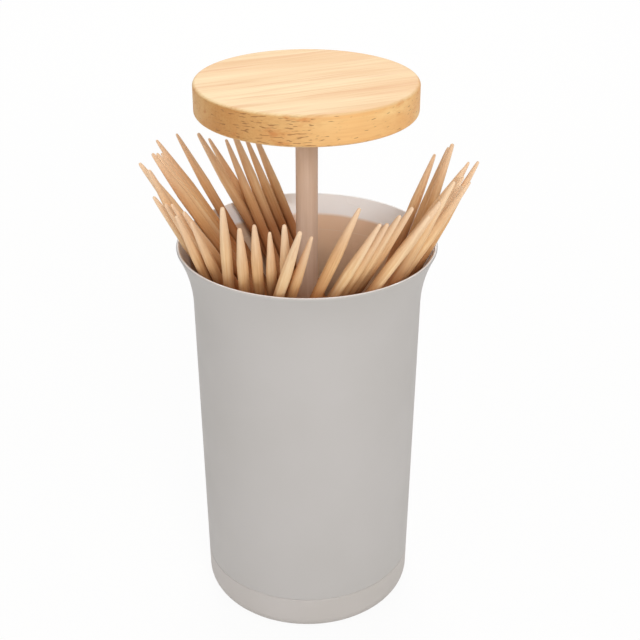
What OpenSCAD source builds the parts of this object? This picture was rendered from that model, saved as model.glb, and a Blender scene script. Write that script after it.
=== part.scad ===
// Toothpick holder with a lid that lifts its own toothpicks: a flared cup, a wooden lid on a stem,
// and a tray on the foot of the stem that raises the sheaf of picks as the lid is pulled up.
// Frame: origin at the centre of the base on the table, +Z up, the front faces -Y.

/* [Shown piece] */
// Name of the piece to draw, or all of them

/* [Cup] */
// Height of the cup from the table to its lip
cup_height = 75; // [60:0.5:90]
// Radius inside the lower barrel that the tray slides in
barrel_radius = 19; // [16:0.25:23]
// Wall of the barrel at the table
barrel_wall = 1.35; // [1.2:0.05:2]
// Growth of the outer radius for each mm of height
wall_slope = 0.0145; // [0:0.0005:0.03]
// Height of the flare under the lip
flare_height = 12; // [8:0.5:16]
// Wall of the throat, where the flare starts
flare_wall = 1.4; // [1:0.05:2]
// Wall of the flare at its thin lip
lip_wall = 0.6; // [0.4:0.05:1.2]
// How far the lip stands out from the wall below the flare
lip_overhang = 2.74; // [1.5:0.02:4]
// Height of the seam between the cup and its base cap
seam_height = 7.6; // [6:0.1:10]
// How far the stop bead stands in from the barrel
stop_bead = 0.4; // [0.25:0.05:0.6]
// Height of the stop bead
bead_height = 1.6; // [1:0.1:2.5]
// Height of the slope above the stop bead
bead_slope = 1; // [0.5:0.1:2]

/* [Base cap] */
// Radius of the rounded lower edge
edge_round = 3; // [1:0.25:4]
// Height of the cap's floor above the table
cap_floor_top = 1.9; // [1.5:0.1:3]
// Length of the cap's collar inside the cup
collar_length = 3; // [2:0.25:4]
// Wall of the collar
collar_wall = 0.72; // [0.6:0.02:0.8]
// How far the snap bead stands out from the collar
snap_bead = 0.22; // [0.1:0.02:0.3]
// Length of the snap bead along the collar
snap_length = 1; // [0.6:0.1:1.6]

/* [Lifter] */
// How far the lid lifts the tray
travel = 28.5; // [20:0.5:40]
// Thickness of the tray's floor
tray_floor = 1.5; // [1.3:0.1:2.5]
// Gap between the tray and the barrel
tray_gap = 0.2; // [0.15:0.05:0.5]
// Height of the tray's rim above its floor
tray_rim = 2.6; // [2:0.1:4]
// Wall of the tray's rim
rim_wall = 1.8; // [1.5:0.1:2.5]
// Diameter of the stem
stem_diameter = 4; // [3:0.1:5]
// Wall of the boss that holds the stem
boss_wall = 1.4; // [1:0.1:2]
// Height of the boss above the tray's floor
boss_height = 4; // [3:0.25:5]
// Chamfer of the tray's rim and boss
tray_chamfer = 0.4; // [0.2:0.1:0.6]
// Height of the friction ring
ring_height = 1.7; // [1.2:0.1:2]
// Chamfer of the friction ring
ring_chamfer = 0.3; // [0.1:0.05:0.5]
// Depth of the groove that it turns in
groove_depth = 0.9; // [0.5:0.05:1.2]

/* [Lid] */
// Gap between the lowered lid and the throat of the cup
lid_gap = 0.11; // [0.1:0.01:0.5]
// Thickness of the lid
lid_thickness = 5.5; // [4:0.25:8]
// How far the lid's underside sinks below the lip when it is lowered
lid_sink = 3.5; // [2:0.25:5]
// Rounding of the lid's edges
lid_edge = 0.6; // [0.3:0.1:1.5]
// Wood left above the blind bore that takes the stem
lid_cover = 1.9; // [1:0.1:3]

/* [Tray screw] */
// Radius of the shank
screw_radius = 0.95; // [0.7:0.05:1.2]
// Radius of the countersunk head
screw_head = 1.9; // [1.5:0.1:2.4]
// Height of the countersunk head
head_height = 1.1; // [0.8:0.05:1.2]
// Length of the screw
screw_length = 9; // [6:0.5:12]
// Length of the screw's point
screw_point = 0.6; // [0.3:0.1:1]
// Radius of the cross recess arms
cross_arm = 1.0; // [0.6:0.1:1.4]
// Width of the cross recess arms
cross_width = 0.4; // [0.2:0.1:0.6]
// Depth of the cross recess
cross_depth = 0.7; // [0.4:0.1:0.9]

/* [Toothpicks] */
// Length of a toothpick
pick_length = 65; // [55:0.5:70]
// Diameter of a toothpick
pick_diameter = 2; // [1.6:0.1:2.4]
// Length of the taper at each end
pick_taper = 10; // [6:0.5:14]
// Radius of the blunt tip
pick_tip = 0.3; // [0.2:0.05:0.5]
// Gap between two picks of a row
pick_gap = 0.4; // [0.2:0.05:0.5]
// How far inside the lip the outermost pick of a row leans
pick_inset = 2.02; // [2:0.02:4]
// Distance from the axis to the line that a row's feet stand on, in steps from pick to pick
foot_place = 3.6; // [3.2:0.05:4]
// The same for the single picks between the rows
between_place = 2.3; // [2:0.05:2.6]
// Distance of their feet to the side of the row's middle, in the same steps
between_side = 5.65; // [5.5:0.01:5.8]
// How far inside the lip the single picks lean
between_inset = 2.8; // [2.4:0.05:5]
// Step in which some picks are pushed up along their own length
raise_step = 1; // [0.5:0.1:1.5]
// Gap under a foot, so that it can tilt on the tray
foot_gap = 0.2; // [0.1:0.05:0.4]

/* [Fit and finish] */
// Gap of a piece that slides or turns
running_gap = 0.04; // [0.02:0.01:0.1]
// Gap of a piece that stays put
fixed_gap = 0.02; // [0.01:0.01:0.1]
// Gap left at the ends of the lid's travel, and beside the ring in its groove
stop_gap = 0.1; // [0.05:0.05:0.3]
// Facets round a full circle
facets = 128; // [48:8:192]
// Facets round a pick
pick_facets = 24; // [16:4:48]

/* [Hidden] */
$fn = facets;
// Outer radius of the wall at the table, and a function for any height
foot_radius = barrel_radius + barrel_wall;
function outer_at(z) = foot_radius + wall_slope * z;
// Inside of the wall up to the throat, where the flare starts
throat_height = cup_height - flare_height;
throat_radius = outer_at(throat_height) - flare_wall;
function throat_line(z) = throat_radius - wall_slope * (throat_height - z);
// The flare has one arc outside and one inside, which meet in the round lip
lip_radius = outer_at(throat_height) + lip_overhang;
lip_turn = 2 * atan(lip_overhang / flare_height);
lip_middle = [lip_radius - lip_wall / 2, cup_height - lip_wall / 2];
throat_outside = [outer_at(throat_height), throat_height];
throat_inside = [throat_radius, throat_height];
// Collar of the base cap, between the barrel and the cup's wall
collar_radius = barrel_radius + collar_wall;
// The tray and its ring in the barrel, raised by the travel from the cap's floor
tray_radius = barrel_radius - tray_gap;
tray_inside = tray_radius - rim_wall;
ring_radius = barrel_radius - running_gap;
tray_low = cap_floor_top + stop_gap + travel;
tray_floor_top = tray_low + tray_floor;
tray_top = tray_floor_top + tray_rim;
// The bead that the tray's rim stops under
bead_low = tray_top + stop_gap;
bead_top = bead_low + bead_height;
slope_top = bead_top + bead_slope;
// The groove of the tray, at the middle of its rim
groove_height = ring_height + stop_gap;
groove_low = tray_low + (tray_floor + tray_rim - groove_height) / 2;
ring_low = groove_low + stop_gap / 2;
// Stem from the tray's floor to the top of the lid's bore
stem_radius = stem_diameter / 2;
boss_radius = stem_radius + boss_wall;
lid_underside = cup_height - lid_sink + travel;
lid_bore = lid_thickness - lid_cover;
lid_radius = throat_radius - lid_gap;
stem_low = tray_floor_top + fixed_gap;
stem_high = lid_underside + lid_bore - stop_gap;
// Rows of picks: each has its place numbers in steps from pick to pick
near_places = [1.5, 2.5, 3.5, 4.5];
far_places = [4.2, 5.2];
row_step = 360 / 16;
pick_radius = pick_diameter / 2;
pick_pitch = pick_diameter + pick_gap;
foot_line = foot_place * pick_pitch;
// Every row leans until its outermost pick would pass the lip's height at the inset
function lean_to(inset, side, line) = atan(
    (sqrt(pow(lip_radius - inset, 2) - pow(side, 2)) + line) / (cup_height - tray_floor_top - foot_gap));
pick_lean = lean_to(pick_inset, far_places[1] * pick_pitch, foot_line);
between_line = between_place * pick_pitch;
between_lean = lean_to(between_inset, between_side * pick_pitch, between_line);
// How far a cut runs past the face that it starts from
cut_over = 1;

// A point of the round lip, at a turn from outward
function lip_point(turn) = lip_middle + lip_wall / 2 * [cos(turn), sin(turn)];
// A point at a share of the arc that leaves start upright and ends at stop
function flare_point(start, stop, share) = let(
    sweep = 2 * atan((stop[0] - start[0]) / (stop[1] - start[1])),
    bend = (stop[1] - start[1]) / sin(sweep))
    start + bend * [1 - cos(share * sweep), sin(share * sweep)];

// The wall of the cup as one turned profile
module cup_profile() {
    collar_top = seam_height + collar_length + fixed_gap;
    collar_middle = seam_height + collar_length / 2;
    collar_face = collar_radius + fixed_gap;
    polygon(concat(
        [[outer_at(seam_height), seam_height]],
        [for (a = [0 : 0.1 : 1]) flare_point(throat_outside, lip_point(-lip_turn), a)],
        [for (turn = [30 : 30 : 150]) lip_point(turn - lip_turn)],
        [for (a = [0 : 0.1 : 1]) flare_point(throat_inside, lip_point(180 - lip_turn), 1 - a)],
        [[throat_line(slope_top), slope_top],
         [barrel_radius - stop_bead, bead_top],
         [barrel_radius - stop_bead, bead_low],
         [barrel_radius, bead_low],
         [barrel_radius, collar_top],
         [collar_face, collar_top],
         [collar_face, collar_middle + snap_length / 2],
         [collar_face + snap_bead, collar_middle],
         [collar_face, collar_middle - snap_length / 2],
         [collar_face, seam_height]]));
}

module cup() {
    color([0.77, 0.76, 0.74]) rotate_extrude() cup_profile();
}

// Snap-in bottom with a rounded lower edge and a thin collar inside the cup
module base_cap() {
    round_arc = [for (a = [0 : 10 : 90])
        [outer_at(edge_round) - edge_round + edge_round * sin(a), edge_round - edge_round * cos(a)]];
    top = seam_height - fixed_gap;
    collar_middle = seam_height + collar_length / 2;
    color([0.75, 0.74, 0.72]) rotate_extrude() polygon(concat(
        [[0, 0]],
        round_arc,
        [[outer_at(top), top],
         [collar_radius, top],
         [collar_radius, collar_middle - snap_length / 2],
         [collar_radius + snap_bead, collar_middle],
         [collar_radius, collar_middle + snap_length / 2],
         [collar_radius, seam_height + collar_length],
         [barrel_radius, seam_height + collar_length],
         [barrel_radius, cap_floor_top],
         [0, cap_floor_top]]));
}

// Tray that the picks stand on, with a groove for the ring and a boss for the stem
module tray() {
    color([0.80, 0.79, 0.76]) rotate_extrude() polygon([
        [screw_radius + fixed_gap, tray_low + head_height],
        [screw_head + fixed_gap, tray_low],
        [tray_radius, tray_low],
        [tray_radius, groove_low],
        [tray_radius - groove_depth, groove_low],
        [tray_radius - groove_depth, groove_low + groove_height],
        [tray_radius, groove_low + groove_height],
        [tray_radius, tray_top],
        [tray_inside + tray_chamfer, tray_top],
        [tray_inside, tray_top - tray_chamfer],
        [tray_inside, tray_floor_top],
        [boss_radius, tray_floor_top],
        [boss_radius, tray_floor_top + boss_height - tray_chamfer],
        [boss_radius - tray_chamfer, tray_floor_top + boss_height],
        [stem_radius + fixed_gap, tray_floor_top + boss_height],
        [stem_radius + fixed_gap, tray_floor_top],
        [screw_radius + fixed_gap, tray_floor_top]]);
}

// Soft ring that grips the barrel and lets the tray turn inside it
module friction_ring() {
    inner = tray_radius - groove_depth + running_gap;
    color([0.60, 0.60, 0.60]) rotate_extrude() polygon([
        [inner, ring_low],
        [ring_radius - ring_chamfer, ring_low],
        [ring_radius, ring_low + ring_chamfer],
        [ring_radius, ring_low + ring_height - ring_chamfer],
        [ring_radius - ring_chamfer, ring_low + ring_height],
        [inner, ring_low + ring_height]]);
}

// Stem with a blind hole for the screw in its lower end
module stem() {
    color([0.83, 0.74, 0.68]) difference() {
        translate([0, 0, stem_low]) cylinder(r = stem_radius, h = stem_high - stem_low);
        translate([0, 0, stem_low - cut_over])
            cylinder(r = screw_radius + fixed_gap, h = screw_length + cut_over);
    }
}

// Countersunk screw with a cross recess, driven up into the stem
module tray_screw() {
    color([0.70, 0.70, 0.72]) difference() {
        rotate_extrude() polygon([
            [0, tray_low],
            [screw_head, tray_low],
            [screw_radius, tray_low + head_height],
            [screw_radius, tray_low + screw_length - screw_point],
            [screw_radius / 2, tray_low + screw_length],
            [0, tray_low + screw_length]]);
        for (turn = [0, 90]) rotate([0, 0, turn])
            translate([-cross_arm, -cross_width / 2, tray_low - cut_over])
                cube([2 * cross_arm, cross_width, cut_over + cross_depth]);
    }
}

// Wooden lid with rounded edges and a blind bore for the stem
module lid() {
    bore = stem_radius + fixed_gap;
    color([0.87, 0.70, 0.46]) translate([0, 0, lid_underside]) rotate_extrude() polygon([
        [bore, 0],
        [lid_radius - lid_edge, 0],
        [lid_radius - lid_edge * 0.3, lid_edge * 0.3],
        [lid_radius, lid_edge],
        [lid_radius, lid_thickness - lid_edge],
        [lid_radius - lid_edge * 0.3, lid_thickness - lid_edge * 0.3],
        [lid_radius - lid_edge, lid_thickness],
        [0, lid_thickness],
        [0, lid_bore],
        [bore, lid_bore]]);
}

// One toothpick, standing on its foot
module pick() {
    rotate_extrude($fn = pick_facets) polygon([
        [0, 0], [pick_tip, 0],
        [pick_radius * 0.8, pick_taper * 0.65], [pick_radius, pick_taper],
        [pick_radius, pick_length - pick_taper], [pick_radius * 0.8, pick_length - pick_taper * 0.65],
        [pick_tip, pick_length], [0, pick_length]]);
}

// A row of picks that lean the same way: step counts row_step turns from +X, places count the
// pitch across the row, raised counts the raise steps that each pick is pushed up by
module pick_row(step, places, raised) {
    rotate([0, 0, step * row_step])
        translate([-foot_line, 0, tray_floor_top + foot_gap])
            for (i = [0 : len(places) - 1])
                translate([0, -places[i] * pick_pitch, 0])
                    rotate([0, pick_lean, 0]) translate([0, 0, raised[i] * raise_step]) pick();
}

// A single steeper pick in the gap after a row, with its foot to the far side of the middle
module pick_between(step, raised) {
    rotate([0, 0, step * row_step])
        translate([-between_line, -between_side * pick_pitch, tray_floor_top + foot_gap])
            rotate([0, between_lean, 0]) translate([0, 0, raised * raise_step]) pick();
}

module picks_east()        { color([0.85, 0.72, 0.55]) pick_row(0, near_places, [4, 3, 2, 4]); }
module picks_east_back()   { color([0.83, 0.70, 0.53]) pick_row(1, far_places, [3, 4]); }
module picks_northeast()   { color([0.80, 0.67, 0.50]) pick_row(2, [3.5, 4.5], [0, 2]); }
module picks_northwest()   { color([0.80, 0.67, 0.50]) pick_row(6, near_places, [0, 2, 0, 1]); }
module picks_west_back()   { color([0.83, 0.70, 0.53]) pick_row(7, far_places, [2, 0]); }
module picks_west()        { color([0.85, 0.72, 0.55]) pick_row(8, near_places, [4, 3, 2, 4]); }
module picks_west_front()  { color([0.87, 0.75, 0.58]) pick_row(9, far_places, [4, 2]); }
module picks_southwest()   { color([0.88, 0.76, 0.60]) pick_row(10, near_places, [0, 1, 0, 1]); }
module picks_south_left()  { color([0.87, 0.75, 0.58]) pick_row(11, far_places, [0, 1]); }
module picks_south()       { color([0.89, 0.78, 0.62]) pick_row(12, near_places, [3, 1, 3, 2]); }
module picks_south_right() { color([0.87, 0.75, 0.58]) pick_row(13, far_places, [1, 3]); }
module picks_southeast()   { color([0.88, 0.76, 0.60]) pick_row(14, near_places, [4, 3, 2, 3]); }
module picks_east_front()  { color([0.87, 0.75, 0.58]) pick_row(15, far_places, [4, 2]); }
module pick_at_east()      { color([0.86, 0.73, 0.56]) pick_between(2, 1); }
module pick_at_southeast() { color([0.88, 0.76, 0.60]) pick_between(0, 2); }
module pick_at_south()     { color([0.88, 0.76, 0.60]) pick_between(14, 3); }
module pick_at_southwest() { color([0.88, 0.76, 0.60]) pick_between(12, 2); }
module pick_at_west()      { color([0.86, 0.73, 0.56]) pick_between(10, 2); }
module pick_at_northwest() { color([0.82, 0.69, 0.52]) pick_between(8, 1); }

cup();
base_cap();
tray();
friction_ring();
stem();
tray_screw();
lid();
picks_east();
picks_east_back();
picks_northeast();
picks_northwest();
picks_west_back();
picks_west();
picks_west_front();
picks_southwest();
picks_south_left();
picks_south();
picks_south_right();
picks_southeast();
picks_east_front();
pick_at_east();
pick_at_southeast();
pick_at_south();
pick_at_southwest();
pick_at_west();
pick_at_northwest();
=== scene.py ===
"""Toothpick holder with a lid that lifts its toothpicks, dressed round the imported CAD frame.

Lengths are in metres, in the frame of the CAD. The front faces -Y.
"""
import math
import random

import bpy
from mathutils import Matrix, Vector


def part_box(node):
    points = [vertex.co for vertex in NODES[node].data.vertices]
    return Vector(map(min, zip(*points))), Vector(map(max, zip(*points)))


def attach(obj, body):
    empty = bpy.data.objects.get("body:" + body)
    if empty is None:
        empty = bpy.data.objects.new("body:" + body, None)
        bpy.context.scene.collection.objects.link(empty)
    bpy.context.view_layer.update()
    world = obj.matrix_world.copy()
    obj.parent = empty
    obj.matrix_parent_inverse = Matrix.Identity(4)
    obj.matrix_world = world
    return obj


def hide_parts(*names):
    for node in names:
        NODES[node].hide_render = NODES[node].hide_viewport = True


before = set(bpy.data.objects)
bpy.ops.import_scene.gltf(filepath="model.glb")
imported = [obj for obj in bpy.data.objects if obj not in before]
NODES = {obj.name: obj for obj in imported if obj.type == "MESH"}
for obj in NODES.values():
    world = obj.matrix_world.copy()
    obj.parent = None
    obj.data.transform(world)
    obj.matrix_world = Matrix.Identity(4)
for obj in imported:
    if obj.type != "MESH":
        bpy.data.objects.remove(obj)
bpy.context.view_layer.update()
MM = 0.001
rng = random.Random(7)

# Sizes, read from the CAD boxes
CUP_LOW, CUP_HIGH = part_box("cup")
CAP_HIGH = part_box("base_cap")[1]
LID_LOW, LID_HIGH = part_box("lid")
STEM_LOW, STEM_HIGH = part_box("stem")
TRAY_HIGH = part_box("tray")[1]

LIP_RADIUS = CUP_HIGH[0]
LIP_TOP = CUP_HIGH[2]
SEAM_Z = CUP_LOW[2]
LID_RADIUS = LID_HIGH[0]
LID_UNDER = LID_LOW[2]
LID_THICK = LID_HIGH[2] - LID_LOW[2]
STEM_RADIUS = STEM_HIGH[0]

# The cup's wall, as in the CAD
WALL_SLOPE = 0.0145
FOOT_RADIUS = 20.35 * MM
THROAT_Z = 63 * MM
THROAT_OUTSIDE = FOOT_RADIUS + WALL_SLOPE * THROAT_Z
THROAT_INSIDE = THROAT_OUTSIDE - 1.4 * MM
LIP_WALL = 0.6 * MM
BARREL_RADIUS = 19.0 * MM
STOP_BEAD = 0.4 * MM
BEAD_LOW = TRAY_HIGH[2] + 0.1 * MM
BEAD_HEIGHT = 1.6 * MM
BEAD_RAMP = 1.0 * MM
COLLAR_TOP = CAP_HIGH[2]
COLLAR_RADIUS = 19.72 * MM
CAP_FLOOR = 1.9 * MM
EDGE_ROUND = 3.0 * MM
SEAM_EASE = 0.17 * MM
# Gap that the CAD leaves between pieces that are fixed to each other
PLAY = 0.02 * MM

# The middle of the wall, where the inside's colour meets the outside's: its radius at height 0
# and its slope, for the barrel (WALL_SLOPE) and for the flare
WALL_MIDDLE = FOOT_RADIUS - 0.7 * MM
FLARE_SLOPE = 0.5
FLARE_MIDDLE = LIP_RADIUS - 0.1 * MM - FLARE_SLOPE * LIP_TOP

# Below FLARE_END_Z, where the painted light of its flare ends, the inside of the cup is tinted tan
# as painted warm bounce light. The tint is paler, painted as more light, at the first of
# BOUNCE_FADE's heights than at the second. The painted shade of the other three, brown, fades out
# from their first height to their second; the picks' are lengths along the pick.
FLARE_END_Z = 71.4 * MM
BOUNCE_FADE = (60 * MM, 71 * MM)
DEEP_SHADE = (48 * MM, 58 * MM)
STEM_SHADE = (56 * MM, 67 * MM)
PICK_SHADE = (46 * MM, 55 * MM)

# Toothpicks, as in the CAD
PICK_LENGTH = 65 * MM
PICK_RADIUS = 1.0 * MM
PICK_TAPER = 10 * MM
PICK_PITCH = 2.4 * MM
FOOT_Z = 32.2 * MM
NEAR = (1.5, 2.5, 3.5, 4.5)
FAR = (4.2, 5.2)


def lean_to(inset, side, line):
    """Lean of the picks whose outermost one passes the lip's height at the inset."""
    reach = math.sqrt((LIP_RADIUS - inset) ** 2 - side ** 2)
    return math.atan((reach + line) / (LIP_TOP - FOOT_Z))


FOOT_LINE = 3.6 * PICK_PITCH
PICK_LEAN = lean_to(2.02 * MM, FAR[1] * PICK_PITCH, FOOT_LINE)
SINGLE_LINE = 2.3 * PICK_PITCH
SINGLE_SIDE = 5.65 * PICK_PITCH
SINGLE_LEAN = lean_to(2.8 * MM, SINGLE_SIDE, SINGLE_LINE)
ROW_STEP = math.radians(22.5)
# Row name: step round the cup, places across the row in pitches, and each pick's rise in mm
ROWS = {
    "east": (0, NEAR, (4, 3, 2, 4)),
    "east_back": (1, FAR, (3, 4)),
    "northeast": (2, (3.5, 4.5), (0, 2)),
    "northwest": (6, NEAR, (0, 2, 0, 1)),
    "west_back": (7, FAR, (2, 0)),
    "west": (8, NEAR, (4, 3, 2, 4)),
    "west_front": (9, FAR, (4, 2)),
    "southwest": (10, NEAR, (0, 1, 0, 1)),
    "south_left": (11, FAR, (0, 1)),
    "south": (12, NEAR, (3, 1, 3, 2)),
    "south_right": (13, FAR, (1, 3)),
    "southeast": (14, NEAR, (4, 3, 2, 3)),
    "east_front": (15, FAR, (4, 2)),
}
# Single picks between the rows: step round the cup, and rise in mm
SINGLES = {
    "east": (2, 1), "southeast": (0, 2), "south": (14, 3),
    "southwest": (12, 2), "west": (10, 2), "northwest": (8, 1),
}


# Mesh helpers
def lathe(name, profile, segments=192):
    """A turned surface from (radius, height) points; a radius of 0 makes a pole.

    A profile that ends at its first point closes on itself."""
    closed = profile[0] == profile[-1]
    verts, faces, rings = [], [], []
    for radius, z in profile[:-1] if closed else profile:
        if radius < 1e-7:
            rings.append([len(verts)])
            verts.append((0.0, 0.0, z))
            continue
        rings.append(range(len(verts), len(verts) + segments))
        for i in range(segments):
            turn = 2 * math.pi * i / segments
            verts.append((radius * math.cos(turn), radius * math.sin(turn), z))
    if closed:
        rings.append(rings[0])
    for a, b in zip(rings, rings[1:]):
        for i in range(segments):
            j = (i + 1) % segments
            if len(a) == 1:
                faces.append((a[0], b[j], b[i]))
            elif len(b) == 1:
                faces.append((a[i], a[j], b[0]))
            else:
                faces.append((a[i], a[j], b[j], b[i]))
    return mesh_object(name, verts, faces)


def mesh_object(name, verts, faces, sharp=35):
    """A smooth-shaded object whose edges are sharp from the given angle in degrees."""
    mesh = bpy.data.meshes.new(name)
    mesh.from_pydata(verts, [], faces)
    mesh.validate()
    mesh.polygons.foreach_set("use_smooth", [True] * len(mesh.polygons))
    mesh.set_sharp_from_angle(angle=math.radians(sharp))
    obj = bpy.data.objects.new(name, mesh)
    bpy.context.scene.collection.objects.link(obj)
    return obj


def arc(centre, radius, start, end, steps):
    """Points of an arc in the (radius, height) plane, angles in degrees from outward."""
    points = []
    for i in range(steps + 1):
        angle = math.radians(start + (end - start) * i / steps)
        points.append((centre[0] + radius * math.cos(angle), centre[1] + radius * math.sin(angle)))
    return points


# Material helpers
class Shade:
    """Short way to write one material's nodes."""

    def __init__(self, name):
        self.mat = bpy.data.materials.new(name)
        self.mat.use_nodes = True
        self.tree = self.mat.node_tree
        self.bsdf = self.tree.nodes["Principled BSDF"]
        self.spot = -200

    def add(self, kind, **values):
        node = self.tree.nodes.new(kind)
        node.location = (self.spot, -200)
        self.spot -= 60
        for key, value in values.items():
            setattr(node, key, value)
        return node

    def put(self, socket, value):
        """Links a socket, or sets a number."""
        if isinstance(value, bpy.types.NodeSocket):
            self.tree.links.new(value, socket)
        else:
            socket.default_value = value

    def math(self, operation, a, b=0.0):
        node = self.add("ShaderNodeMath", operation=operation)
        self.put(node.inputs[0], a)
        self.put(node.inputs[1], b)
        return node.outputs[0]

    def noise(self, vector, scale, detail=3.0, rough=0.5, warp=0.0):
        node = self.add("ShaderNodeTexNoise")
        self.put(node.inputs["Vector"], vector)
        self.put(node.inputs["Scale"], scale)
        self.put(node.inputs["Detail"], detail)
        self.put(node.inputs["Roughness"], rough)
        self.put(node.inputs["Distortion"], warp)
        return node.outputs["Fac"]

    def spread(self, value, low, high, to_low=0.0, to_high=1.0):
        node = self.add("ShaderNodeMapRange", clamp=True)
        self.put(node.inputs["Value"], value)
        self.put(node.inputs["From Min"], low)
        self.put(node.inputs["From Max"], high)
        self.put(node.inputs["To Min"], to_low)
        self.put(node.inputs["To Max"], to_high)
        return node.outputs["Result"]

    def mix(self, share, a, b, blend="MIX"):
        node = self.add("ShaderNodeMix", data_type="RGBA", blend_type=blend)
        self.put(node.inputs["Factor"], share)
        self.put(node.inputs["A"], a)
        self.put(node.inputs["B"], b)
        return node.outputs["Result"]

    def place(self, stretch=(1, 1, 1), turn=(0, 0, 0), vector=None):
        """Object coordinates, or the given ones, turned first and then stretched."""
        if vector is None:
            vector = self.add("ShaderNodeTexCoord").outputs["Object"]
        if any(turn):
            turned = self.add("ShaderNodeMapping", vector_type="POINT")
            self.put(turned.inputs["Vector"], vector)
            turned.inputs["Rotation"].default_value = turn
            vector = turned.outputs["Vector"]
        mapping = self.add("ShaderNodeMapping", vector_type="POINT")
        self.put(mapping.inputs["Vector"], vector)
        mapping.inputs["Scale"].default_value = stretch
        return mapping.outputs["Vector"]

    def axes(self, vector):
        """The X, Y and Z of a vector."""
        node = self.add("ShaderNodeSeparateXYZ")
        self.put(node.inputs[0], vector)
        return node.outputs

    def bump(self, height, distance, strength):
        node = self.add("ShaderNodeBump")
        self.put(node.inputs["Height"], height)
        node.inputs["Distance"].default_value = distance
        node.inputs["Strength"].default_value = strength
        self.put(self.bsdf.inputs["Normal"], node.outputs["Normal"])

    def finish(self, colour, roughness, **plain):
        """Sets the colour, the roughness and sockets that are the same all over."""
        self.put(self.bsdf.inputs["Base Color"], colour)
        self.put(self.bsdf.inputs["Roughness"], roughness)
        for key, value in plain.items():
            self.bsdf.inputs[key.replace("_", " ")].default_value = value
        return self.mat


def srgb(r, g, b):
    """An sRGB colour of 0 to 255 as linear RGBA."""
    out = []
    for c in (r, g, b):
        c /= 255
        out.append(c / 12.92 if c <= 0.04045 else ((c + 0.055) / 1.055) ** 2.4)
    return (*out, 1.0)


def moulded(name, tint, shade, roughness=0.45, painted_inside=False):
    """Moulded plastic: a faint cloud in the colour, fine orange peel, roughness that varies.

    A cup with a painted inside is glossy inside, with painted light in its flare, below that
    painted warm bounce light in tan, and then painted shade in brown deep among the picks."""
    s = Shade(name)
    coords = s.place()
    cloud = s.noise(coords, 45, 3)
    colour = s.mix(s.spread(cloud, 0.3, 0.7), srgb(*tint), srgb(*shade))
    gloss = s.spread(s.noise(coords, 160, 2), 0.3, 0.7, roughness - 0.04, roughness + 0.05)
    if painted_inside:
        x, y, z = s.axes(coords)
        square = s.math("ADD", s.math("MULTIPLY", x, x), s.math("MULTIPLY", y, y))
        radius = s.math("POWER", square, 0.5)
        # The middle of the wall: a straight line below the throat, a steeper one in the flare
        straight = s.math("ADD", s.math("MULTIPLY", z, WALL_SLOPE), WALL_MIDDLE)
        flared = s.math("ADD", s.math("MULTIPLY", z, FLARE_SLOPE), FLARE_MIDDLE)
        outward = s.math("SUBTRACT", radius, s.math("MAXIMUM", straight, flared))
        inside = s.spread(outward, -0.1 * MM, 0.1 * MM, 1.0, 0.0)
        # Painted light: the inside is near white, which stays in the flare
        colour = s.mix(inside, colour, srgb(249, 251, 254))
        # Painted warm bounce light: tan below FLARE_END_Z, paler lower down
        line = s.math("ADD", z, s.spread(cloud, 0.3, 0.7, -0.15 * MM, 0.15 * MM))
        below = s.spread(line, FLARE_END_Z - 0.3 * MM, FLARE_END_Z + 0.3 * MM, 1.0, 0.0)
        painted_bounce = s.math("MULTIPLY", inside, below)
        dust_and_bounce = s.mix(s.spread(z, *BOUNCE_FADE), srgb(250, 216, 180), srgb(230, 194, 160))
        colour = s.mix(s.math("MULTIPLY", painted_bounce, 0.9), colour, dust_and_bounce)
        # Painted shade: brown deep down in the cup, among the picks
        painted_deep_shade = s.math("MULTIPLY", inside, s.spread(z, *DEEP_SHADE, 1.0, 0.0))
        colour = s.mix(s.math("MULTIPLY", painted_deep_shade, 0.9), colour, srgb(128, 78, 42))
        gloss = s.math("SUBTRACT", gloss, s.math("MULTIPLY", inside, 0.22))
    s.bump(s.noise(coords, 900, 2), 0.00001, 0.5)
    return s.finish(colour, gloss, Specular_IOR_Level=0.5)


LID_GRAIN = math.radians(23)


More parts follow.
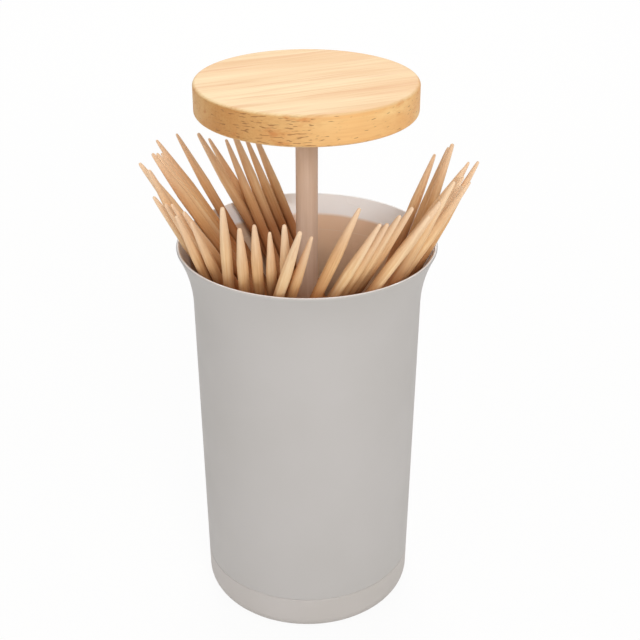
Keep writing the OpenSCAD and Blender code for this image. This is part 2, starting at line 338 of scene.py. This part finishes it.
def lid_wood(name):
    """Pale plantation wood: soft peach bands, thin orange streaks and short dark pores."""
    s = Shade(name)

    def grained(along, scale, detail, rough, warp=0.0):
        coords = s.place(stretch=(along, 1, 1.5), turn=(0, 0, -LID_GRAIN))
        return s.noise(coords, scale, detail, rough, warp)

    bands = grained(0.10, 120, 3, 0.5, 0.5)
    base = s.mix(s.spread(bands, 0.38, 0.62), srgb(252, 224, 174), srgb(242, 197, 140))
    streaks = grained(0.05, 430, 3, 0.6, 0.3)
    base = s.mix(s.spread(streaks, 0.55, 0.70, 0.0, 0.85), base, srgb(230, 170, 112))
    fibres = grained(0.03, 2100, 3, 0.6)
    base = s.mix(s.spread(fibres, 0.45, 0.75, 0.0, 0.45), base, srgb(228, 180, 128))
    # The rim shows cut fibre ends, darker; painted shade makes it brown where it faces left
    geometry = s.add("ShaderNodeNewGeometry")
    slope = s.math("ABSOLUTE", s.axes(geometry.outputs["Normal"])[2])
    side = s.spread(slope, 0.3, 0.8, 1.0, 0.0)
    x, y, z = s.axes(s.place())
    edge = s.math("ADD", x, s.math("MULTIPLY", bands, 6 * MM))
    left = s.spread(edge, -10 * MM, 10 * MM, 1.0, 0.0)
    left = s.math("MULTIPLY", left, s.spread(x, -19.5 * MM, -15 * MM, 0.35, 1.0))
    base = s.mix(s.math("MULTIPLY", side, 0.8), base, srgb(249, 230, 197), "MULTIPLY")
    # Painted shade on the rim where it faces left
    shade = s.math("MULTIPLY", s.math("MULTIPLY", side, left), 0.9)
    base = s.mix(shade, base, srgb(203, 176, 142), "MULTIPLY")
    # Pores: short strokes along the rim, closest together at the front left
    around = s.math("MULTIPLY", s.math("ARCTAN2", y, x), LID_RADIUS * 0.2)
    across = s.math("ADD", s.math("MULTIPLY", z, 1.2), s.math("MULTIPLY", around, -0.4))
    rim = s.add("ShaderNodeCombineXYZ")
    s.put(rim.inputs[0], around)
    s.put(rim.inputs[1], across)
    pores = s.noise(rim.outputs[0], 3200, 1, 0.4)
    crowd = s.spread(s.math("ABSOLUTE", s.math("ADD", x, 6 * MM)), 3 * MM, 13 * MM, 0.085, 0.0)
    pits = s.math("MULTIPLY", side, s.spread(s.math("ADD", pores, crowd), 0.68, 0.74))
    base = s.mix(s.math("MULTIPLY", pits, 0.7), base, srgb(146, 94, 50))
    s.bump(s.math("SUBTRACT", fibres, s.math("MULTIPLY", pits, 2.0)), 0.00004, 0.5)
    return s.finish(base, s.spread(fibres, 0.3, 0.7, 0.45, 0.6), Specular_IOR_Level=0.4)


def pick_wood(name):
    """Split birch: streaks along the pick, paler cut tips, each pick a tone of its own."""
    s = Shade(name)
    tone = s.add("ShaderNodeAttribute", attribute_name="tone")
    tip = s.add("ShaderNodeAttribute", attribute_name="tip")
    along = s.add("ShaderNodeAttribute", attribute_name="along").outputs["Vector"]
    streaks = s.noise(s.place(stretch=(1, 1, 0.03), vector=along), 2400, 4, 0.6)
    blotch = s.noise(s.place(stretch=(1, 1, 0.12), vector=along), 320, 3, 0.55)
    light = s.mix(tone.outputs["Fac"], srgb(248, 220, 176), srgb(236, 194, 142))
    dark = s.mix(tone.outputs["Fac"], srgb(226, 180, 126), srgb(206, 152, 94))
    colour = s.mix(s.spread(streaks, 0.30, 0.74), light, dark)
    colour = s.mix(s.spread(blotch, 0.45, 0.75, 0.0, 0.5), colour, srgb(206, 152, 100))
    colour = s.mix(s.math("MULTIPLY", tip.outputs["Fac"], 0.6), colour, srgb(248, 220, 194))
    # Painted shade darkens the part that stands inside the cup, among the other picks
    painted_low_shade = s.spread(s.axes(along)[2], *PICK_SHADE, 0.8, 0.0)
    colour = s.mix(painted_low_shade, colour, srgb(154, 88, 40))
    s.bump(streaks, 0.00003, 0.6)
    return s.finish(colour, s.spread(streaks, 0.3, 0.7, 0.55, 0.75), Specular_IOR_Level=0.3)


def plain_wood(name):
    """Turned dowel with a thin pale pinkish finish, and painted shade, brown, where it stands among
    the picks.
    """
    s = Shade(name)
    fibres = s.noise(s.place(stretch=(1, 1, 0.04)), 1500, 3, 0.6)
    cloud = s.noise(s.place(stretch=(1, 1, 0.2)), 150, 2)
    colour = s.mix(s.spread(fibres, 0.3, 0.7), srgb(228, 203, 183), srgb(213, 185, 161))
    colour = s.mix(s.spread(cloud, 0.4, 0.7, 0.0, 0.4), colour, srgb(226, 204, 187))
    # Painted shade: brown low down, where the stem stands among the picks
    painted_low_shade = s.spread(s.axes(s.place())[2], *STEM_SHADE, 0.85, 0.0)
    colour = s.mix(painted_low_shade, colour, srgb(140, 92, 56))
    s.bump(fibres, 0.00002, 0.5)
    return s.finish(colour, s.spread(fibres, 0.3, 0.7, 0.45, 0.6), Specular_IOR_Level=0.4)


def silicone(name):
    s = Shade(name)
    dust_and_bounce = s.noise(s.place(), 1200, 3)
    colour = s.mix(s.spread(dust_and_bounce, 0.3, 0.7), srgb(150, 150, 150), srgb(136, 136, 138))
    s.bump(dust_and_bounce, 0.00001, 0.4)
    return s.finish(colour, s.spread(dust_and_bounce, 0.3, 0.7, 0.55, 0.7), Subsurface_Weight=0.05)


def steel(name):
    s = Shade(name)
    brushed = s.noise(s.place(stretch=(1, 1, 8)), 1500, 3)
    colour = s.mix(s.spread(brushed, 0.3, 0.7), srgb(190, 190, 194), srgb(160, 160, 166))
    return s.finish(colour, s.spread(brushed, 0.3, 0.7, 0.25, 0.4), Metallic=1.0)


# Cup and base cap
def wall_outside(z):
    return FOOT_RADIUS + WALL_SLOPE * z


def flare_point(start, stop, share):
    """A point at a share of the arc that leaves start upright and ends at stop."""
    run, rise = stop[0] - start[0], stop[1] - start[1]
    sweep = 2 * math.atan(run / rise)
    bend = rise / math.sin(sweep)
    angle = share * sweep
    return (start[0] + bend * (1 - math.cos(angle)), start[1] + bend * math.sin(angle))


WALL_RINGS_MM = range(10, 63, 4)
FLARE_STEPS = 36
LIP_STEPS = 12


def cup_profile():
    """The CAD's wall: a flare that thins to a round lip, stop bead and the collar's seat."""
    turn = math.degrees(2 * math.atan((LIP_RADIUS - THROAT_OUTSIDE) / (LIP_TOP - THROAT_Z)))
    middle = (LIP_RADIUS - LIP_WALL / 2, LIP_TOP - LIP_WALL / 2)
    lip = arc(middle, LIP_WALL / 2, -turn, 180 - turn, LIP_STEPS)
    shares = [i / FLARE_STEPS for i in range(FLARE_STEPS + 1)]
    outer = [flare_point((THROAT_OUTSIDE, THROAT_Z), lip[0], share) for share in shares]
    inner = [flare_point((THROAT_INSIDE, THROAT_Z), lip[-1], 1 - share) for share in shares]
    barrel = [(wall_outside(z * MM), z * MM) for z in WALL_RINGS_MM]
    bead_top = BEAD_LOW + BEAD_HEIGHT
    ramp_top = bead_top + BEAD_RAMP
    bead_radius = BARREL_RADIUS - STOP_BEAD
    return (
        [(COLLAR_RADIUS, SEAM_Z), (wall_outside(SEAM_Z) - SEAM_EASE, SEAM_Z),
         (wall_outside(SEAM_Z), SEAM_Z + SEAM_EASE)]
        + barrel + outer + lip[1:-1] + inner
        + [(THROAT_INSIDE - WALL_SLOPE * (THROAT_Z - ramp_top), ramp_top),
           (bead_radius, bead_top), (bead_radius, BEAD_LOW), (BARREL_RADIUS, BEAD_LOW),
           (BARREL_RADIUS, COLLAR_TOP), (COLLAR_RADIUS, COLLAR_TOP), (COLLAR_RADIUS, SEAM_Z)]
    )


def cap_profile():
    """Base cap with a rounded lower edge; its top meets the cup at an eased seam."""
    top = SEAM_Z - PLAY
    collar = COLLAR_RADIUS - PLAY
    corner = (wall_outside(EDGE_ROUND) - EDGE_ROUND, EDGE_ROUND)
    return (
        [(0, 0)] + arc(corner, EDGE_ROUND, -90, 0, 16)
        + [(wall_outside(top), top - SEAM_EASE), (wall_outside(top) - SEAM_EASE, top),
           (collar, top), (collar, COLLAR_TOP),
           (BARREL_RADIUS, COLLAR_TOP), (BARREL_RADIUS, CAP_FLOOR), (0, CAP_FLOOR)]
    )


cup_plastic = moulded("cup_plastic", (190, 187, 186), (186, 183, 181), painted_inside=True)
cap_plastic = moulded("cap_plastic", (196, 191, 189), (191, 186, 182))
tray_plastic = moulded("tray_plastic", (205, 201, 195), (198, 193, 186), 0.5)

cup = lathe("cup_shell", cup_profile())
cup.data.materials.append(cup_plastic)
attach(cup, "holder")
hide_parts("cup")

cap = lathe("base_shell", cap_profile())
cap.data.materials.append(cap_plastic)
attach(cap, "holder")
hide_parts("base_cap")

# Lid, stem and the hidden pieces
LID_EASE = 0.6 * MM
LID_BORE_DEPTH = 3.6 * MM
UNDER_RINGS = 6
TOP_RINGS = 8
STEM_EASE = 0.2 * MM


def lid_profile():
    """Disc with eased edges and the blind bore for the stem."""
    edge = LID_RADIUS - LID_EASE
    bore = STEM_RADIUS + PLAY
    under = [(bore + (edge - bore) * i / UNDER_RINGS, 0) for i in range(1, UNDER_RINGS)]
    top = [(edge * (1 - i / TOP_RINGS), LID_THICK) for i in range(1, TOP_RINGS + 1)]
    return (
        [(0, LID_BORE_DEPTH), (bore, LID_BORE_DEPTH), (bore, 0)] + under
        + arc((edge, LID_EASE), LID_EASE, -90, 0, 6)
        + arc((edge, LID_THICK - LID_EASE), LID_EASE, 0, 90, 6) + top
    )


def stem_profile():
    """Rod with eased ends."""
    low, high = STEM_LOW[2], STEM_HIGH[2]
    end = STEM_RADIUS - STEM_EASE
    return [(0, low), (end, low), (STEM_RADIUS, low + STEM_EASE),
            (STEM_RADIUS, high - STEM_EASE), (end, high), (0, high)]


lid = lathe("lid_disc", lid_profile())
lid.location = (0, 0, LID_UNDER)
lid.data.materials.append(lid_wood("lid_wood"))
bpy.context.view_layer.update()
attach(lid, "lifter")
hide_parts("lid")

stem = lathe("stem_rod", stem_profile(), 96)
stem.data.materials.append(plain_wood("stem_finish"))
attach(stem, "lifter")
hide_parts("stem")


def dress(node, material):
    """Gives a CAD node its material."""
    obj = NODES[node]
    if obj.data.materials:
        for i in range(len(obj.data.materials)):
            obj.data.materials[i] = material
    else:
        obj.data.materials.append(material)


dress("tray", tray_plastic)
dress("friction_ring", silicone("ring_silicone"))
dress("tray_screw", steel("screw_steel"))

# Toothpicks
PICK_SIDES = 20
# How full the tapers are: 1 is a straight cone, less is rounder
OGIVE = 0.82
LOW_SHARES = (0.2, 0.4, 0.6, 0.8, 1.0)
SHANK_STEPS = 8
HIGH_SHARES = (1.0, 0.85, 0.7, 0.55, 0.4, 0.27, 0.16, 0.08)
# The blunt upper end: depth below it and radius, both as shares of the tip's radius
TIP_ROUND = ((0.8, 1.02), (0.4, 0.88), (0.12, 0.6), (0.0, 0.25))
# The chamfer at the foot: its height, and the share of the tip's radius that it leaves
FOOT_EASE = 0.12 * MM
FOOT_SHARE = 0.55
# Length of the upper end that is paler
PALE_LENGTH = 13 * MM
# Three flats wind round a pick: their depth as a share of its radius, and turn per metre
FLAT_DEPTH = 0.025
FLAT_TWIST = 40
pick_material = pick_wood("pick_wood")


def pick_rings(radius, taper_low, taper_high, tip):
    """(height, radius) stations of one pick, close together on the tapers."""
    def taper(share):
        return tip + (radius - tip) * share ** OGIVE

    shank = PICK_LENGTH - taper_low - taper_high
    return (
        [(0.0, tip * FOOT_SHARE), (FOOT_EASE, tip)]
        + [(taper_low * share, taper(share)) for share in LOW_SHARES]
        + [(taper_low + shank * i / SHANK_STEPS, radius) for i in range(1, SHANK_STEPS)]
        + [(PICK_LENGTH - taper_high * share, taper(share)) for share in HIGH_SHARES]
        + [(PICK_LENGTH - tip * down, tip * width) for down, width in TIP_ROUND]
    )


def add_pick(verts, faces, tones, tips, shift, rise):
    """Adds one pick along +Z, standing at shift along Y, with a slight bow and flats."""
    radius = PICK_RADIUS * rng.uniform(0.95, 1.0)
    tip = rng.uniform(0.22, 0.36) * MM
    taper_low = PICK_TAPER * rng.uniform(0.9, 1.1)
    taper_high = PICK_TAPER * rng.uniform(0.95, 1.3)
    bow = rng.uniform(-0.06, 0.06) * MM
    bow_turn = rng.uniform(0, math.pi)
    ripple_turn = rng.uniform(0, 2 * math.pi)
    tone = rng.uniform(0, 1)
    start = len(verts)
    stations = pick_rings(radius, taper_low, taper_high, tip)
    for z, r in stations:
        sway = bow * math.sin(math.pi * z / PICK_LENGTH)
        paleness = max(0.0, 1 - (PICK_LENGTH - z) / PALE_LENGTH)
        for k in range(PICK_SIDES):
            turn = 2 * math.pi * k / PICK_SIDES
            flat = 1 - FLAT_DEPTH * (1 + math.cos(3 * turn + ripple_turn + FLAT_TWIST * z)) / 2
            verts.append((
                r * flat * math.cos(turn) + sway * math.cos(bow_turn),
                shift + r * flat * math.sin(turn) + sway * math.sin(bow_turn),
                z + rise,
            ))
            tones.append(tone)
            tips.append(paleness)
    for i in range(len(stations) - 1):
        for k in range(PICK_SIDES):
            a = start + i * PICK_SIDES
            b = a + PICK_SIDES
            j = (k + 1) % PICK_SIDES
            faces.append((a + k, a + j, b + j, b + k))
    faces.append(tuple(start + k for k in reversed(range(PICK_SIDES))))
    last = start + (len(stations) - 1) * PICK_SIDES
    faces.append(tuple(last + k for k in range(PICK_SIDES)))


def set_sticks(name, body, node, shifts, raised, step, foot_line, lean):
    """One body's picks as one mesh, standing on their foot line and leaning outward.

    The attribute "along" keeps each point's place before the picks lean, for the grain."""
    verts, faces, tones, tips = [], [], [], []
    for shift, rise in zip(shifts, raised):
        add_pick(verts, faces, tones, tips, shift, rise * MM)
    sticks = mesh_object(name, verts, faces, 50)
    for label, numbers in (("tone", tones), ("tip", tips)):
        layer = sticks.data.attributes.new(label, "FLOAT", "POINT")
        layer.data.foreach_set("value", numbers)
    along = sticks.data.attributes.new("along", "FLOAT_VECTOR", "POINT")
    along.data.foreach_set("vector", [number for vert in verts for number in vert])
    sticks.data.materials.append(pick_material)
    sticks.data.transform(
        Matrix.Rotation(step * ROW_STEP, 4, "Z")
        @ Matrix.Translation((-foot_line, 0, FOOT_Z))
        @ Matrix.Rotation(lean, 4, "Y")
    )
    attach(sticks, body)
    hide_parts(node)


for row, (step, places, raised) in ROWS.items():
    shifts = [-place * PICK_PITCH for place in places]
    set_sticks("sticks_" + row, "row_" + row, "picks_" + row, shifts, raised,
               step, FOOT_LINE, PICK_LEAN)
for single, (step, rise) in SINGLES.items():
    set_sticks("stick_" + single, "single_" + single, "pick_at_" + single, [-SINGLE_SIDE], [rise],
               step, SINGLE_LINE, SINGLE_LEAN)

# Floor, world and lights
FLOOR_HALF = 3.0
# Share of plain white that the camera sees in the floor; the rest keeps the object's shadow
FLOOR_WHITE = 0.93
AMBIENT = 0.5
corners = [(x * FLOOR_HALF, y * FLOOR_HALF, 0) for x, y in ((-1, -1), (1, -1), (1, 1), (-1, 1))]
floor_mesh = bpy.data.meshes.new("floor")
floor_mesh.from_pydata(corners, [], [(0, 1, 2, 3)])
floor = bpy.data.objects.new("floor", floor_mesh)
bpy.context.scene.collection.objects.link(floor)
floor_shade = Shade("floor_paper")
floor_shade.finish(srgb(240, 239, 237), 0.8)
glow = floor_shade.add("ShaderNodeEmission")
glow.inputs["Color"].default_value = (1, 1, 1, 1)
glow.inputs["Strength"].default_value = 1.0
path = floor_shade.add("ShaderNodeLightPath")
seen = floor_shade.math("MULTIPLY", path.outputs["Is Camera Ray"], FLOOR_WHITE)
blend = floor_shade.add("ShaderNodeMixShader")
floor_shade.put(blend.inputs[0], seen)
floor_shade.put(blend.inputs[1], floor_shade.bsdf.outputs[0])
floor_shade.put(blend.inputs[2], glow.outputs[0])
output = floor_shade.tree.nodes["Material Output"]
floor_shade.put(output.inputs["Surface"], blend.outputs[0])
floor.data.materials.append(floor_shade.mat)

# The world lights the object at the plain ambient level, and the camera sees it as white
world = bpy.data.worlds.new("studio")
bpy.context.scene.world = world
world.use_nodes = True
tree = world.node_tree
ambient = tree.nodes["Background"]
ambient.inputs["Color"].default_value = (1, 0.985, 0.965, 1)
ambient.inputs["Strength"].default_value = AMBIENT
white = tree.nodes.new("ShaderNodeBackground")
white.inputs["Color"].default_value = (1, 1, 1, 1)
white.inputs["Strength"].default_value = 1.0
rays = tree.nodes.new("ShaderNodeLightPath")
either = tree.nodes.new("ShaderNodeMath")
either.operation = "MAXIMUM"
tree.links.new(rays.outputs["Is Camera Ray"], either.inputs[0])
tree.links.new(rays.outputs["Is Transmission Ray"], either.inputs[1])
choose = tree.nodes.new("ShaderNodeMixShader")
tree.links.new(either.outputs[0], choose.inputs[0])
tree.links.new(ambient.outputs[0], choose.inputs[1])
tree.links.new(white.outputs[0], choose.inputs[2])
tree.links.new(choose.outputs[0], tree.nodes["World Output"].inputs["Surface"])

AIM = Vector((0, 0, 0.06))


def softbox(name, place, size, watts, colour=(1, 1, 1)):
    """Square area lamp that points at the upper half of the object."""
    data = bpy.data.lights.new(name, "AREA")
    data.shape = "SQUARE"
    data.size = size
    data.energy = watts
    data.color = colour
    lamp = bpy.data.objects.new(name, data)
    lamp.location = place
    lamp.rotation_euler = (AIM - Vector(place)).to_track_quat("-Z", "Y").to_euler()
    bpy.context.scene.collection.objects.link(lamp)


softbox("key", (0.30, -0.55, 0.62), 0.5, 1.0, (1, 0.985, 0.96))
softbox("low", (0.17, -0.60, 0.38), 0.2, 1.45, (1, 0.99, 0.975))
softbox("fill", (-0.6, -0.45, 0.35), 0.6, 0.8, (1, 0.99, 0.98))
softbox("back", (0.0, 0.55, 0.5), 0.5, 2.2)

# Camera, at the photograph's place
CAMERA_AT = Vector((0, -0.2109, 0.1687))
PITCH, YAW, ROLL = 0.4814, 0.0115, 0.0021
FOCAL_PIXELS = 1250.3
FRAME_PIXELS = 640
SENSOR_WIDTH = 36
ahead = Vector((math.sin(YAW) * math.cos(PITCH), math.cos(YAW) * math.cos(PITCH), -math.sin(PITCH)))
level = Vector((math.cos(YAW), -math.sin(YAW), 0))
above = level.cross(ahead)
right = level * math.cos(ROLL) + above * math.sin(ROLL)
up = above * math.cos(ROLL) - level * math.sin(ROLL)
camera_data = bpy.data.cameras.new("camera")
camera_data.sensor_width = SENSOR_WIDTH
camera_data.lens = FOCAL_PIXELS / FRAME_PIXELS * SENSOR_WIDTH
camera_data.clip_start = 0.01
camera = bpy.data.objects.new("camera", camera_data)
camera.matrix_world = Matrix((
    (right.x, up.x, -ahead.x, CAMERA_AT.x),
    (right.y, up.y, -ahead.y, CAMERA_AT.y),
    (right.z, up.z, -ahead.z, CAMERA_AT.z),
    (0, 0, 0, 1),
))
bpy.context.scene.collection.objects.link(camera)
bpy.context.scene.camera = camera
bpy.context.scene.view_settings.view_transform = "Standard"
